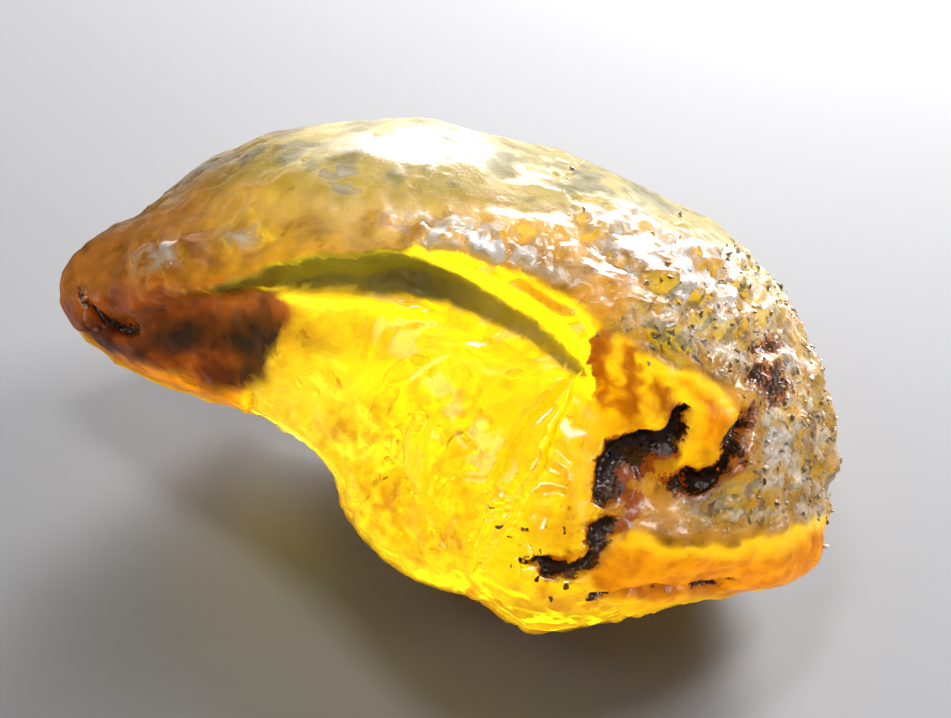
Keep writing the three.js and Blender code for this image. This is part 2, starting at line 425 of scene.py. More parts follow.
class Ground:
    """The lump's points, with where each is drawn on the broken face, plain and roughened."""

    def __init__(self, mesh):
        self.points = vectors(mesh.vertices, "co").astype(float) / MM
        self.normals = vectors(mesh.vertex_normals, "vector").astype(float)
        self.facing = self.normals @ FACE_OUT
        self.front = smooth(self.facing, -0.15, 0.25)
        wander = drift(self.points, 2.6, 0.55) + drift(self.points, 0.8, 0.16, start=40.0)
        self.wander = (wander @ FACE_AXES.T)[:, :2]
        self.places = to_face(self.points)[:, :2]
        self.rough = self.places + self.wander
        fine = drift(self.points, 0.50, 0.34, start=80.0) @ FACE_AXES.T
        self.ragged = self.rough + fine[:, :2]

    def wavering(self, share):
        return self.places + share * self.wander

    def inside(self, outline, low=-0.3, high=0.6):
        return smooth(inside_distance(self.rough, outline), low, high)


def below_ridge(ground):
    distance, side = line_distance(ground.wavering(0.4), rounded(RIDGE, closed=False))
    return np.where(side < 0, distance, -distance)


def window_field(ground):
    """How far inside the clear window each point is: it ends at the ridge and under the rim."""
    u = ground.places[:, 0]
    window = np.minimum(inside_distance(ground.rough, WINDOW), 5.0 * (ground.facing + 0.12))
    past_ridge = 4.0 * (smooth(u, -3.6, 1.0) + smooth(-u, 11.0, 13.0))
    return np.minimum(window, below_ridge(ground) + 0.15 + past_ridge)


def carving_field(ground):
    """How far each feature of the broken face stands up or is cut in."""
    below = below_ridge(ground)
    facet = np.clip(below / 0.9, 0, 1) * (1 - smooth(below, 1.6, 5.5))
    carving = -0.95 * facet
    for line, height, width in ((VEIN, 0.85, 1.0), (LIP, 0.50, 1.7), (UPPER_LIP, 0.42, 1.7),
                                (FOOT_CRACK, -0.60, 1.5), (NOSE_NICK, -0.70, 1.2)):
        carving += height * stroke(ground.wavering(0.4), line, width)
    for line, depth, width in ((CREVICE, 0.95, 0.42), (SOIL_SEAM, 0.85, 1.1),
                               (SOIL_CHAIN, 0.60, 1.3)):
        carving -= depth * stroke(ground.rough, line, width)
    for patch in HOLLOWS_AND_SWELLS:
        carving += blot(ground.places, patch)
    corner = blot(ground.places, FOOT_CORNER) * smooth(ground.facing, -0.6, 0)
    return carving * ground.front + corner


def dirt_fields(ground):
    """Soil lodged in the seams, and the red-brown staining that spreads from them."""
    ragged = ground.ragged
    soil = np.maximum.reduce([
        stroke(ragged, SOIL_SEAM, 1.15), stroke(ragged, SOIL_CHAIN, 1.15),
        0.9 * stroke(ragged, CREVICE, 0.45), 0.9 * stroke(ragged, FOOT_CRACK, 1.1),
        0.9 * stroke(ground.rough, NOSE_NICK, 0.8), blots(ground.rough, SOIL_SPOTS)])
    rust = np.maximum.reduce([
        0.75 * stroke(ragged, SOIL_SEAM, 1.7), 0.75 * stroke(ragged, SOIL_CHAIN, 1.8),
        0.8 * stroke(ragged, CREVICE, 0.8), 0.7 * stroke(ragged, FOOT_CRACK, 2.2),
        *(stroke(ragged, line, 0.45, fall=(0.2, 1.5)) for line in RUST_STREAKS)])
    return {"soil": soil * ground.front, "rust": rust * ground.front}


def skin_fields(ground):
    """Where the skin is frosted, crusted, orange or stained, and where shade, glare and glints are
    painted on it.
    """
    u = ground.places[:, 0]
    facing = ground.facing
    # Painted shade on the facet below the ridge.
    shade = stroke(ground.wavering(0.35), SHADED_FACET, fall=(0.75, 1.3)) * ground.front
    shade *= (1 - 0.15 * smooth(u, -2.5, 2.5)) * smooth(below_ridge(ground), -0.10, 0.15)
    frost = smooth(inside_distance(ground.wavering(2.2), FROST), -0.8, 1.4)
    frost *= smooth(ground.normals[:, 2], 0.0, 0.5) * smooth(facing, -0.62, -0.25)
    crust = ground.inside(CRUST, high=0.9) * smooth(facing, -0.55, 0.0)
    orange = np.maximum.reduce([depth * ground.inside(patch, high=1.6)
                                for depth, patch in ORANGE_PATCHES])
    stain = ground.inside(NOSE_STAIN, low=-0.4, high=0.5) * smooth(facing, -0.3, 0.2)
    # Painted glare on the middle of the crest.
    bloom = blot(ground.rough, CREST_PAINTED_GLARE)
    # Less light goes through the back wall, which faces the back light, as painted shade, and
    # through the underside.
    back_wall = smooth(ground.normals[:, 1], 0.1, 0.8) * (1 - ground.front)
    underside = smooth(-ground.normals[:, 2], 0.1, 0.7)
    # Painted glints on the lumps.
    painted_glint = blots(ground.places, PAINTED_GLINT_PATCHES) * ground.front
    # Painted shade: skin facing up and back, towards the back light, is darkened to a near-black
    # olive; it is also made rougher and left without coat.
    dulled_painted_shade = smooth(ground.normals[:, 1], -0.10, 0.35) * smooth(ground.normals[:, 2], 0.2, 0.6)
    dulled_painted_shade *= (1 - np.clip(1.5 * bloom, 0, 1)) * (1 - painted_glint)
    return {"shade": shade, "frost": frost, "crust": crust, "stain": stain, "dulled_painted_shade": dulled_painted_shade,
            "orange": orange * smooth(facing, -0.3, 0.1),
            "dark_stain": stain * blots(ground.ragged, NOSE_INCLUSIONS),
            "nose": smooth(-u, 7.0, 12.5),
            "painted_glint": painted_glint,
            "glow": 0.68 - 0.22 * back_wall - 0.32 * underside,
            "bloom": bloom,
            "shelf_haze": blot(ground.rough, SHELF_PAINTED_GLARE_AREA) * ground.front}


def clear_fields(ground):
    # Painted highlights: the spots and the vein are kept clear of clouds and deep amber.
    painted_bright = np.maximum(blots(ground.rough, PAINTED_BRIGHT_SPOTS), stroke(ground.rough, VEIN, 2.2))
    cloudy = blots(ground.rough, CLOUDS) * (1 - 0.9 * painted_bright)
    deepened = blots(ground.rough, DEEPENED) * (1 - 0.8 * painted_bright)
    return {"cloudy": np.clip(cloudy, 0, 1), "deepened": deepened}


def survey(obj):
    """Stores on the lump's points what the weathering and the finish go by."""
    ground = Ground(obj.data)
    window = window_field(ground)
    dirt, skin = dirt_fields(ground), skin_fields(ground)
    lumpy = 0.35 + blots(ground.places, LUMPY_GROUND) + 0.4 * skin["crust"]
    lumpy = np.clip(lumpy, 0, 1.2) * (1 - 0.85 * skin["frost"])
    inner = smooth(window, 0.2, 1.2) * ground.front
    shoulder = ground.front * blot(ground.places, SHOULDER)
    store(obj.data, window=window, carving=carving_field(ground), lumpy=lumpy,
          belly=1 - smooth(ground.points[:, 2], 0.02, 0.9),
          u=ground.places[:, 0], v=ground.places[:, 1],
          bubble_zone=inner * blots(ground.places, BUBBLE_GROUND),
          speck_zone=inner * blots(ground.places, SPECK_GROUND),
          crumb_zone=dirt["soil"] * (dirt["soil"] > 0.45),
          grain_zone=np.maximum(skin["crust"], shoulder),
          **dirt, **skin, **clear_fields(ground))


def weathering_tree():
    """Scallops, lumps, pits and ripples, each where the survey says it belongs."""
    net, given = new_group("weathering", "GeometryNodeTree", [
        ("Geometry", "Geometry"), ("Rind Step", "Float", 0.3),
        ("Lump Size", "Float", 1.3), ("Lump Height", "Float", 0.3),
        ("Pit Size", "Float", 0.5), ("Pit Depth", "Float", 0.12),
        ("Scallop Size", "Float", 5.0), ("Scallop Depth", "Float", 0.4),
        ("Ripple Spacing", "Float", 1.1), ("Ripple Height", "Float", 0.04),
        ("Seed", "Float", 0.0), ("Finish", "Material")], [("Geometry", "Geometry")])

    def field(name):
        return net.add("GeometryNodeInputNamedAttribute", {"Name": name}, data_type="FLOAT")

    window, lumpy = field("window"), field("lumpy")
    position = net.add("GeometryNodeInputPosition")
    place = net.scaled(position, 1 / MM)
    seed = net.add("ShaderNodeCombineXYZ", {0: given["Seed"], 1: given["Seed"]})
    place = net.add("ShaderNodeVectorMath", {0: place, 1: seed}, operation="ADD")

    def cells(size, smoothness=0.25):
        frequency = net.math("DIVIDE", 1.0, size)
        return net.add("ShaderNodeTexVoronoi",
                       {"Vector": place, "Scale": frequency, "Smoothness": smoothness},
                       feature="SMOOTH_F1")

    def grain(size, detail=2.0):
        frequency = net.math("DIVIDE", 1.0, size)
        return net.math("SUBTRACT", net.noise(place, frequency, detail), 0.5)

    def dome(size, smoothness=0.25):
        cell = cells(size, smoothness)
        own_height = net.add("ShaderNodeSeparateXYZ", {0: cell.node.outputs["Color"]})
        rise = net.math("SUBTRACT", 0.45, net.math("POWER", cell, 2.0))
        return net.product(rise, net.total(net.product(own_height, 1.5), 0.25))

    ragged = net.total(window, net.product(grain(0.9), 0.9))
    inside = net.step(ragged, -0.1, 0.55)
    rind = net.rest(inside)
    high_ground = net.step(grain(2.4), -0.1, 0.15)
    small_lump = net.product(given["Lump Size"], 0.42)
    lumps = net.total(dome(given["Lump Size"]), net.product(dome(small_lump, 0.2), 0.45))
    lumps = net.product(lumps, given["Lump Height"], lumpy, net.total(high_ground, 0.35), 1.6)
    pits = net.math("MINIMUM", net.total(cells(given["Pit Size"]), -0.42), 0.0)
    pits = net.product(pits, given["Pit Depth"], 2.4, net.step(grain(1.7), 0.0, 0.16))
    grit = net.total(net.product(cells(0.55, 0.1), -0.55), net.product(grain(0.8), 0.9))
    grit = net.product(grit, net.total(field("crust"), field("soil")), 0.42)
    scallops = net.total(net.math("POWER", cells(given["Scallop Size"], 0.12), 2.0), -0.35)
    scallops = net.product(scallops, given["Scallop Depth"], net.step(window, -2.5, 0.0, 1.0, 0.0))
    swell = net.product(grain(3.4, 3.0), 0.55)
    wavy = net.noise(place, 0.9, out=1)
    wavy = net.add("ShaderNodeVectorMath", {0: place, 1: wavy}, operation="ADD")
    seams = net.add("ShaderNodeTexVoronoi", {"Vector": wavy, "Scale": 0.42},
                    feature="DISTANCE_TO_EDGE")
    crazing = net.product(net.step(seams, 0.0, 0.05, -0.12, 0.0), net.step(grain(2.8), -0.05, 0.1))

    along = net.total(field("u"), -SWIRL_MIDDLE[0])
    up = net.total(field("v"), -SWIRL_MIDDLE[1])
    apart = net.add("ShaderNodeCombineXYZ", {0: along, 1: up})
    reach = net.add("ShaderNodeVectorMath", {0: apart}, operation="LENGTH", out=1)
    reach = net.total(reach, net.product(grain(4.0, 1.0), 5.0))
    turns = net.math("DIVIDE", net.product(reach, math.tau), given["Ripple Spacing"])
    streaks = net.add("ShaderNodeCombineXYZ", {
        0: net.product(reach, 1.5), 1: net.product(net.math("ARCTAN2", up, along), 1.4)})
    patterns = {
        "cloud": net.noise(place, 1 / 2.4, 4.0, 0.6, 0.6),
        "fleck": net.noise(place, 1 / 1.1, 4.0, 0.7),
        "fine_cloud": net.noise(place, 1 / 1.0, 4.0, 0.6, 0.6),
        "fine_fleck": net.noise(place, 1 / 0.45, 3.0, 0.7),
        "puffs": net.noise(place, 1 / 1.8, 3.0),
        "scuffs": net.noise(place, 1 / 0.62),
        "flow": net.noise(streaks, 1.0, 3.0, 0.6),
    }
    ripples = net.product(net.math("SINE", turns), given["Ripple Height"],
                          net.step(grain(3.0), -0.12, 0.12))
    bubbly = net.product(grain(1.2, 1.0), 0.36, net.step(field("v"), -3.0, 0.5, 1.0, 0.15))
    clear_face = net.product(net.total(ripples, bubbly), inside)

    height = net.total(
        net.product(inside, given["Rind Step"], -1.0),
        net.product(net.total(lumps, pits, crazing), rind),
        grit,
        scallops,
        net.product(swell, net.step(window, -1.0, 0.5, 1.0, 0.3)),
        clear_face,
        field("carving"),
    )
    height = net.product(height, net.rest(field("belly")), MM)
    offset = net.scaled(net.add("GeometryNodeInputNormal"), height)
    shape = net.add("GeometryNodeSetPosition",
                    {"Geometry": given["Geometry"], "Offset": offset})
    for name, value in {"clear": inside, **patterns}.items():
        shape = net.add("GeometryNodeStoreNamedAttribute",
                        {"Geometry": shape, "Name": name, "Value": value},
                        data_type="FLOAT", domain="POINT")
    shape = net.add("GeometryNodeSetShadeSmooth", {"Geometry": shape, "Shade Smooth": True})
    shape = net.add("GeometryNodeRealizeInstances", {"Geometry": shape})
    shape = net.add("GeometryNodeSetMaterial", {"Geometry": shape, "Material": given["Finish"]})
    net.give(Geometry=shape)
    return net.tree


def grow(obj, tree, **values):
    """Runs a geometry tree on an object with the values given, and keeps its plain mesh."""
    run = obj.modifiers.new(tree.name, "NODES")
    run.node_group = tree
    for socket in tree.interface.items_tree:
        key = socket.name.replace(" ", "_").lower()
        if socket.in_out == "INPUT" and key in values:
            run[socket.identifier] = values[key]
    obj.data = plain_mesh(obj, obj.name)
    obj.modifiers.clear()


def scatter_tree():
    """Small rough grains strewn under a surface, thickest where a zone says so."""
    net, given = new_group("strewn", "GeometryNodeTree", [
        ("Geometry", "Geometry"), ("Zone", "String", ""),
        ("Per Square Millimetre", "Float", 1.0), ("Seed", "Int", 0),
        ("Smallest", "Float", 0.1), ("Largest", "Float", 0.3),
        ("Shallowest", "Float", 0.0), ("Deepest", "Float", 1.0),
        ("Flatness", "Float", 0.0), ("Roughness", "Float", 0.0), ("Faceting", "Int", 2),
        ("Finish", "Material")], [("Geometry", "Geometry")])

    def chance(low, high, step):
        seed = net.math("ADD", given["Seed"], step)
        return net.add("FunctionNodeRandomValue", {2: low, 3: high, 8: seed}, out=1,
                       data_type="FLOAT")

    zone = net.add("GeometryNodeInputNamedAttribute", {"Name": given["Zone"]}, data_type="FLOAT")
    density = net.product(zone, given["Per Square Millimetre"], 1 / MM ** 2)
    strewn = net.add("GeometryNodeDistributePointsOnFaces", {
        "Mesh": given["Geometry"], "Density": density, "Seed": given["Seed"]})
    depth = net.product(chance(given["Shallowest"], given["Deepest"], 1.0), -MM)
    sunk = net.scaled(strewn.node.outputs["Normal"], depth)
    points = net.add("GeometryNodeSetPosition", {"Geometry": strewn, "Offset": sunk})
    size = chance(given["Smallest"], given["Largest"], 2.0)
    thin = net.rest(net.product(given["Flatness"], chance(0.5, 1.0, 3.0)))
    scale = net.add("ShaderNodeCombineXYZ", {
        0: size, 1: net.product(size, chance(0.6, 1.0, 4.0)), 2: net.product(size, thin)})
    turn = net.add("ShaderNodeCombineXYZ", {axis: chance(0.0, math.tau, 5.0 + axis)
                                            for axis in range(3)})
    grain = net.add("GeometryNodeMeshIcoSphere",
                    {"Radius": 0.5 * MM, "Subdivisions": given["Faceting"]})
    grains = net.add("GeometryNodeInstanceOnPoints", {
        "Points": points, "Instance": grain, "Rotation": turn, "Scale": scale})
    shape = net.add("GeometryNodeRealizeInstances", {"Geometry": grains})
    place = net.add("GeometryNodeInputPosition")
    rough = net.noise(place, 2.6 / MM, 1.0, out=1)
    rough = net.add("ShaderNodeVectorMath", {0: rough, 1: (0.5, 0.5, 0.5)},
                    operation="SUBTRACT")
    rough = net.scaled(rough, net.product(given["Roughness"], MM))
    shape = net.add("GeometryNodeSetPosition", {"Geometry": shape, "Offset": rough})
    shape = net.add("GeometryNodeSetShadeSmooth", {"Geometry": shape, "Shade Smooth": True})
    shape = net.add("GeometryNodeSetMaterial", {"Geometry": shape, "Material": given["Finish"]})
    net.give(Geometry=shape)
    return net.tree


def keep_inside_box(mesh):
    """Presses in the few points that stand out of the lump's own box."""
    points = np.clip(vectors(mesh.vertices, "co"), np.array(cad_box[0]), np.array(cad_box[1]))
    mesh.vertices.foreach_set("co", points.astype(np.float32).ravel())
    mesh.update()


# ---- Finishes ----
def mottle_group():
    """Patches of three colours drawn from two patterns, with the share of the darkest."""
    net, given = new_group("mottle", "ShaderNodeTree", [
        ("Light", "Color", colour(1, 1, 1)), ("Middle", "Color", colour(0.5, 0.5, 0.5)),
        ("Dark", "Color", colour(0, 0, 0)), ("Cloud", "Float", 0.5), ("Fleck", "Float", 0.5),
    ], [("Color", "Color"), ("Dark Share", "Float")])
    light_share = net.step(given["Cloud"], 0.40, 0.62)
    dark_share = net.step(net.total(net.product(given["Cloud"], -0.6), given["Fleck"]), 0.22, 0.52)
    color = net.blend(light_share, given["Middle"], given["Light"])
    color = net.blend(dark_share, color, given["Dark"])
    net.give(Color=color, Dark_Share=dark_share)
    return net.tree


def mottled(net, mottle, light, middle, dark, cloud, fleck):
    given = {"Light": light, "Middle": middle, "Dark": dark, "Cloud": cloud, "Fleck": fleck}
    return net.add("ShaderNodeGroup", given, node_tree=mottle).node.outputs


def new_material(name):
    material = bpy.data.materials.new(name)
    material.use_nodes = True
    material.node_tree.nodes.clear()
    return material, Net(material.node_tree)


def colour(red, green, blue):
    return (red, green, blue, 1.0)


OCHRE = colour(0.46, 0.22, 0.065)
ORANGE_BROWN = colour(0.17, 0.055, 0.010)
FIERY_ORANGE = colour(0.82, 0.39, 0.006)
DEEP_ORANGE = colour(0.62, 0.25, 0.004)
BURNT_ORANGE = colour(0.42, 0.14, 0.005)
GOLDEN = colour(1.0, 0.68, 0.03)
# Painted shade on the skin facing the back light.
TOP_PAINTED_SHADE_OLIVE = colour(0.040, 0.037, 0.022)
DARK_BROWN = colour(0.07, 0.022, 0.006)
# Paler grey painted on the crest's middle as glare.
CREST_PAINTED_GLARE_GREY = colour(0.20, 0.205, 0.19)
TAN = colour(0.17, 0.145, 0.075)
OLIVE_TAN = colour(0.095, 0.078, 0.030)
CRUST_GREY = colour(0.50, 0.43, 0.35)
GREY_GREEN = colour(0.24, 0.13, 0.05)
CRUST_DARK = colour(0.03, 0.017, 0.009)
CLEAR_RESIN = colour(1.0, 0.97, 0.82)
CLOUDY_RESIN = colour(0.32, 0.12, 0.018)
AMBER_RESIN = colour(0.22, 0.145, 0.075)
RED_BROWN = colour(0.24, 0.050, 0.004)
# Painted shade on the facet below the ridge.
OLIVE = colour(0.045, 0.055, 0.008)
SOIL = colour(0.055, 0.021, 0.006)
# Painted glow: the brighter colours the rind shows from inside.
PAINTED_GLOW_THROUGH = colour(1.0, 0.90, 0.55)
PAINTED_GLOW_PALE = colour(1.0, 0.93, 0.45)
PAINTED_GLOW_ORANGE = colour(0.97, 0.82, 0.20)
PAINTED_GLOW_BROWN = colour(0.36, 0.14, 0.02)
# Pale tan painted on the shelf as glare.
SHELF_PAINTED_GLARE_TAN = colour(0.55, 0.42, 0.27)
NOSE_OCHRE = colour(0.30, 0.13, 0.030)
NOSE_BROWN = colour(0.16, 0.060, 0.016)
NOSE_DARK = colour(0.05, 0.018, 0.006)
# Painted glint colour.
PAINTED_GLINT_WHITE = colour(0.56, 0.57, 0.61)
NOSE_PAINTED_GLOW = colour(0.42, 0.15, 0.012)
STAIN_ORANGE = colour(0.52, 0.13, 0.004)
STAIN_BROWN = colour(0.22, 0.045, 0.002)
STAIN_DARK = colour(0.016, 0.005, 0.002)


# What the amber's finish reads from the mesh: the survey's fields, and the weathering's patterns.
FINISH_FIELDS = (
    "clear", "frost", "crust", "soil", "rust", "shade", "stain", "dark_stain", "orange", "nose",
    "cloudy", "deepened", "bloom", "dulled_painted_shade", "glow", "shelf_haze", "painted_glint",
    "cloud", "fleck", "fine_cloud", "fine_fleck", "puffs", "scuffs", "flow",
)
AMBER_IOR = 1.54
AMBER_DEPTH = colour(0.996, 0.968, 0.0)
THINNEST_RIND = 0.87
CLEAR_ROUGHNESS = 0.12
RIND_ROUGHNESS = 0.30
# What each kind of skin and each painted shade, glare or glint adds to the roughness, and the
# share of the light that it holds back.
ROUGHNESS_CHANGES = {"scuffs": 0.06, "shade": 0.25, "soil": -0.12, "crust": -0.10,
                     "painted_glint": -0.14, "dulled_painted_shade": 0.35, "stain": -0.12}
HELD_BACK = {"soil": 1.0, "shade": 0.95, "dark_stain": 0.9, "stain": 0.6, "frost": 0.50,
             "crust": 0.85, "shelf_haze": 0.38, "painted_glint": 0.95}


def break_edges(net, at, grain):
    """Breaks up the edges of the soil, rust, crust, frost and painted glints with finer patterns.
    """
    scuffs, puffs = at["scuffs"], at["puffs"]
    soil_edge = net.total(at["soil"], net.product(grain, 1.3), net.product(scuffs, 1.2))
    near_soil = net.step(at["soil"], 0.02, 0.25)
    halo = net.product(near_soil, net.step(soil_edge, 1.34, 1.66, 0.0, 0.95))
    at["rust"] = net.largest(at["rust"], halo)
    at["soil"] = net.product(net.step(soil_edge, 1.64, 1.82), near_soil)
    at["crust"] = net.product(at["crust"], net.step(scuffs, 0.40, 0.56, 0.30, 1.0))
    at["frost"] = net.product(at["frost"], net.step(puffs, 0.32, 0.58, 0.80, 1.0))
    at["painted_glint"] = net.product(at["painted_glint"], net.step(at["fine_cloud"], 0.40, 0.55),
                                net.rest(at["clear"]))


def rind_colours(net, at, mottle):
    """Adds the rind's colour outside, its brighter painted glow inside, and how dark its patches
    and stains are.
    """

    def patches(light, middle, dark, cloud="cloud", fleck="fleck"):
        return mottled(net, mottle, light, middle, dark, at[cloud], at[fleck])

    puffs, nose, bloom, orange = at["puffs"], at["nose"], at["bloom"], at["orange"]
    rind = patches(OCHRE, ORANGE_BROWN, DARK_BROWN)
    haze = patches(TAN, OLIVE_TAN, ORANGE_BROWN)
    crusty = patches(CRUST_GREY, GREY_GREEN, CRUST_DARK, "fine_cloud", "fine_fleck")
    stained = patches(STAIN_ORANGE, STAIN_BROWN, STAIN_DARK)
    oranges = patches(FIERY_ORANGE, DEEP_ORANGE, BURNT_ORANGE, "fine_cloud", "fleck")
    nose_rind = patches(NOSE_OCHRE, NOSE_BROWN, NOSE_DARK, "fine_cloud", "fine_fleck")
    # The rind's inner side is painted as a brighter glow, in pale, orange and brown patches.
    painted_glow_patches = patches(PAINTED_GLOW_PALE, PAINTED_GLOW_ORANGE, PAINTED_GLOW_BROWN, "cloud", "fine_fleck")
    # Painted glare: paler grey on the crest's middle, and a pale tan haze on the shelf below it.
    frosted = net.blend(net.product(bloom, 0.9), haze["Color"], CREST_PAINTED_GLARE_GREY)
    shelf_glare_share = net.product(at["shelf_haze"], net.step(puffs, 0.26, 0.55), 0.85)
    orange_depth = net.step(net.total(orange, net.product(puffs, 0.8)), 0.70, 1.35)
    oranged = net.blend(orange_depth, GOLDEN, oranges["Color"])
    nose_stain = net.blend(at["dark_stain"], stained["Color"], STAIN_DARK)
    tint = net.blend(net.product(nose, 0.85), rind["Color"], nose_rind["Color"])
    # Laid over the rind in turn: shelf glare, frost with the crest's painted glare, painted shade
    # facing the back light, crust, painted glints, orange, stains, rust, painted shade on the
    # facet, and soil.
    for share, over in ((shelf_glare_share, SHELF_PAINTED_GLARE_TAN), (at["frost"], frosted),
                        (net.product(at["dulled_painted_shade"], 0.85), TOP_PAINTED_SHADE_OLIVE),
                        (net.product(at["crust"], 0.92), crusty["Color"]),
                        (net.product(at["painted_glint"], 0.9), PAINTED_GLINT_WHITE),
                        (net.step(orange, 0.0, 0.25, 0.0, 0.95), oranged),
                        (at["stain"], nose_stain), (net.product(at["rust"], 0.9), RED_BROWN),
                        (net.product(at["shade"], 0.9), OLIVE), (at["soil"], SOIL)):
        tint = net.blend(share, tint, over)
    at["tint"] = tint
    # Painted glow: the colours the rind shows from inside, browner at the nose.
    at["inner_tint"] = net.blend(net.product(nose, 0.9), painted_glow_patches["Color"], NOSE_PAINTED_GLOW)
    at["rind_dark"] = rind["Dark Share"]
    at["stain_dark"] = stained["Dark Share"]


def rind_cover(net, at):
    """Adds how far the rind hides the clear resin, alone and with all that lies on it."""
    thinned = net.largest(net.step(at["rind_dark"], 0.0, 1.0, THINNEST_RIND, 1.0),
                          net.product(net.total(at["frost"], at["crust"]), 0.96))
    at["rind_share"] = net.product(net.rest(at["clear"]), net.math("MINIMUM", thinned, 1.0))
    at["cover"] = net.largest(
        at["rind_share"], at["soil"],
        net.step(at["orange"], 0.0, 0.30),
        net.step(at["rust"], 0.08, 0.55),
        net.step(at["painted_glint"], 0.0, 0.30),
        net.product(at["shade"], 0.93),
        net.product(at["dark_stain"], 0.95),
        net.product(at["stain"], net.step(at["stain_dark"], 0.0, 1.0, 0.97, 1.0)))


def fine_relief(net, at, place, grain):
    """The grain of the rind and the grit of the crust and soil, as a bumped normal."""
    grit = net.add("ShaderNodeTexVoronoi", {"Vector": place, "Scale": 3.6}, feature="F1")
    grit = net.product(grit, net.largest(at["crust"], at["soil"]), -1.6)
    grain = net.product(grain, net.step(at["clear"], 0.0, 0.8, 1.0, 0.1))
    return net.add("ShaderNodeBump", {"Strength": 0.5, "Distance": 0.06 * MM,
                                      "Height": net.total(grain, grit)})


def rind_roughness(net, at):
    frosting = net.total(0.65, net.product(at["bloom"], -0.43))
    return net.total(
        net.step(at["cover"], 0.1, 0.9, CLEAR_ROUGHNESS, RIND_ROUGHNESS),
        net.product(at["frost"], at["rind_share"], frosting),
        *(net.product(at[name], change) for name, change in ROUGHNESS_CHANGES.items()))


def resin_colour(net, at):
    """Clouds and old flow lines in the clear resin, and the deeper amber near its edges."""
    curdled = net.total(net.product(at["cloud"], 0.5), net.product(at["fine_cloud"], 0.5))
    murk = net.total(net.product(at["cloudy"], net.step(curdled, 0.41, 0.56)),
                     net.product(net.step(at["flow"], 0.46, 0.64), 0.22))
    deepened = net.product(at["deepened"], net.step(at["puffs"], 0.20, 0.60, 0.7, 1.0))
    resin = net.blend(deepened, CLEAR_RESIN, AMBER_RESIN)
    return net.blend(net.math("MINIMUM", murk, 0.9), resin, CLOUDY_RESIN)


def glow_share(net, at, from_inside):
    """How much of the light that meets the rind goes through it: more from inside, as painted
    glow, and less on the back wall, as painted shade.
    """
    held_back = [net.product(at[name], share) for name, share in HELD_BACK.items()]
    held_back.append(net.product(at["frost"], at["bloom"], 0.85))
    opaque = net.product(net.largest(*held_back), net.rest(net.product(from_inside, 0.8)))
    return net.product(net.rest(opaque), at["glow"])


def amber_finish(mottle):
    material, net = new_material("amber and rind")
    at = {name: net.add("ShaderNodeAttribute", attribute_name=name, out=2)
          for name in FINISH_FIELDS}
    place = net.scaled(net.add("ShaderNodeTexCoord", out=3), 1 / MM)
    grain = net.noise(place, 5.5, 3.0)
    normal = fine_relief(net, at, place, grain)  # before break_edges changes its fields
    break_edges(net, at, grain)
    rind_colours(net, at, mottle)
    rind_cover(net, at)
    roughness = rind_roughness(net, at)

    glass = net.add("ShaderNodeBsdfPrincipled", {
        "Base Color": resin_colour(net, at), "Roughness": roughness, "IOR": AMBER_IOR,
        "Transmission Weight": 1.0, "Normal": normal})
    # Seen from inside, the rind shows its painted glow colours and lets more light through.
    backfacing = net.add("ShaderNodeNewGeometry", out="Backfacing")
    from_inside = net.product(backfacing, net.rest(at["soil"]))
    matt = net.largest(*(at[name] for name in ("soil", "shade", "stain", "frost", "dulled_painted_shade")))
    skin = net.add("ShaderNodeBsdfPrincipled", {
        "Base Color": net.blend(from_inside, at["tint"], at["inner_tint"]),
        "Roughness": roughness, "IOR": AMBER_IOR,
        "Coat Weight": net.product(net.rest(matt), 0.35), "Coat Roughness": 0.12,
        "Normal": normal})
    through_painted_glow = net.blend(net.total(0.65, net.product(at["nose"], 0.35)), PAINTED_GLOW_THROUGH,
                           at["inner_tint"])
    lit_through = net.add("ShaderNodeBsdfTranslucent", {
        "Color": net.blend(from_inside, at["tint"], through_painted_glow), "Normal": normal})
    skin = net.add("ShaderNodeMixShader", {
        0: glow_share(net, at, from_inside), 1: skin, 2: lit_through})
    surface = net.add("ShaderNodeMixShader", {0: at["cover"], 1: glass, 2: skin})
    depth = net.add("ShaderNodeVolumeAbsorption", {"Color": AMBER_DEPTH, "Density": 260.0})
    net.add("ShaderNodeOutputMaterial", {"Surface": surface, "Volume": depth})
    return material


def grain_finish(name, mottle, light, middle, dark, size, roughness, transmission=0.0):
    material, net = new_material(name)
    place = net.add("ShaderNodeTexCoord", out=3)
    cloud = net.noise(place, 1 / (size * MM))
    fleck = net.noise(place, 2 / (size * MM))
    color = mottled(net, mottle, light, middle, dark, cloud, fleck)["Color"]
    normal = net.add("ShaderNodeBump", {"Strength": 0.6, "Distance": 0.03 * MM,
                                        "Height": net.noise(place, 9.0 / MM, 3.0)})
    surface = net.add("ShaderNodeBsdfPrincipled", {
        "Base Color": color, "Roughness": roughness, "IOR": 1.3,
        "Transmission Weight": transmission, "Normal": normal})
    net.add("ShaderNodeOutputMaterial", {"Surface": surface})
    return material


def cloud_finish():
    """Wisps of brown cloud with no clear edge."""
    material, net = new_material("brown cloud")
    wisp = net.noise(net.add("ShaderNodeTexCoord", out=3), 1.5 / MM, 4.0)
    surface = net.add("ShaderNodeBsdfPrincipled", {
        "Base Color": net.blend(wisp, colour(0.95, 0.55, 0.06), colour(0.45, 0.16, 0.012)),
        "Roughness": 0.6, "Alpha": net.step(wisp, 0.44, 0.70, 0.0, 0.34)})
    net.add("ShaderNodeOutputMaterial", {"Surface": surface})
    return material


def spangle_finish():
    material, net = new_material("spangle")
    sheen = net.noise(net.add("ShaderNodeTexCoord", out=3), 2.4 / MM)
    surface = net.add("ShaderNodeBsdfPrincipled", {
        "Base Color": net.blend(sheen, colour(1.0, 0.98, 0.66), colour(1.0, 0.90, 0.40)),
        "Roughness": 0.06, "IOR": 1.22, "Transmission Weight": 1.0})
    net.add("ShaderNodeOutputMaterial", {"Surface": surface})
    return material


